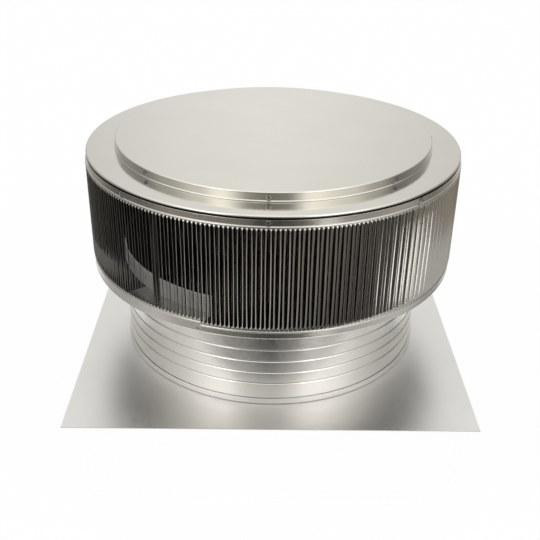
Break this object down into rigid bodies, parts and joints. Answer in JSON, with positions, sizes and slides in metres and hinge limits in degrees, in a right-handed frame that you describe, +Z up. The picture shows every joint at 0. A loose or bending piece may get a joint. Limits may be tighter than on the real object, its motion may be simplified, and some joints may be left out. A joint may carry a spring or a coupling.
{
  "type": "roof vent",
  "caption": "Round gravity roof ventilator in sheet aluminium: square roof flange, ribbed collar, wide crown of upright twisted louvres, and a low brim with a flat lid.",
  "frame": {"origin": "middle of the flange's underside, on the roof plane", "axes": "+Z up along the collar's axis; -Y is the front, seen in the picture, with +X to its right"},
  "size_m": [1.143, 1.143, 0.6529],
  "materials": {
    "flange_sheet": "mill finish, satin",
    "collar_sheet": "mill finish, rolled",
    "crown_sheet": "mill finish, satin",
    "louvre_sheet": "mill finish, lanced edges",
    "cap_sheet": "mill finish, satin",
    "stay_bar": "mill finish bar",
    "fasteners": "bright plated heads"
  },
  "bodies": {
    "root": {"roof_flange": "flange_sheet", "collar": "collar_sheet", "collar_lap": "collar_sheet", "crown_pan": "crown_sheet", "louvre_hoop_front": "crown_sheet", "louvre_hoop_rear": "crown_sheet", "louvre_band_front": "crown_sheet", "louvre_band_rear": "crown_sheet", "louvre_vanes_front_1": "louvre_sheet", "louvre_vanes_front_2": "louvre_sheet", "louvre_vanes_front_3": "louvre_sheet", "louvre_vanes_front_4": "louvre_sheet", "louvre_vanes_rear_1": "louvre_sheet", "louvre_vanes_rear_2": "louvre_sheet", "louvre_vanes_rear_3": "louvre_sheet", "louvre_vanes_rear_4": "louvre_sheet", "cap_ring": "cap_sheet", "lid": "cap_sheet", "cap_stays": "stay_bar", "collar_lap_rivets": "fasteners", "strip_joint_rivets": "fasteners", "cap_stay_rivets": "fasteners", "lid_screws": "fasteners", "band_screws": "fasteners"}
  },
  "joints": []
}
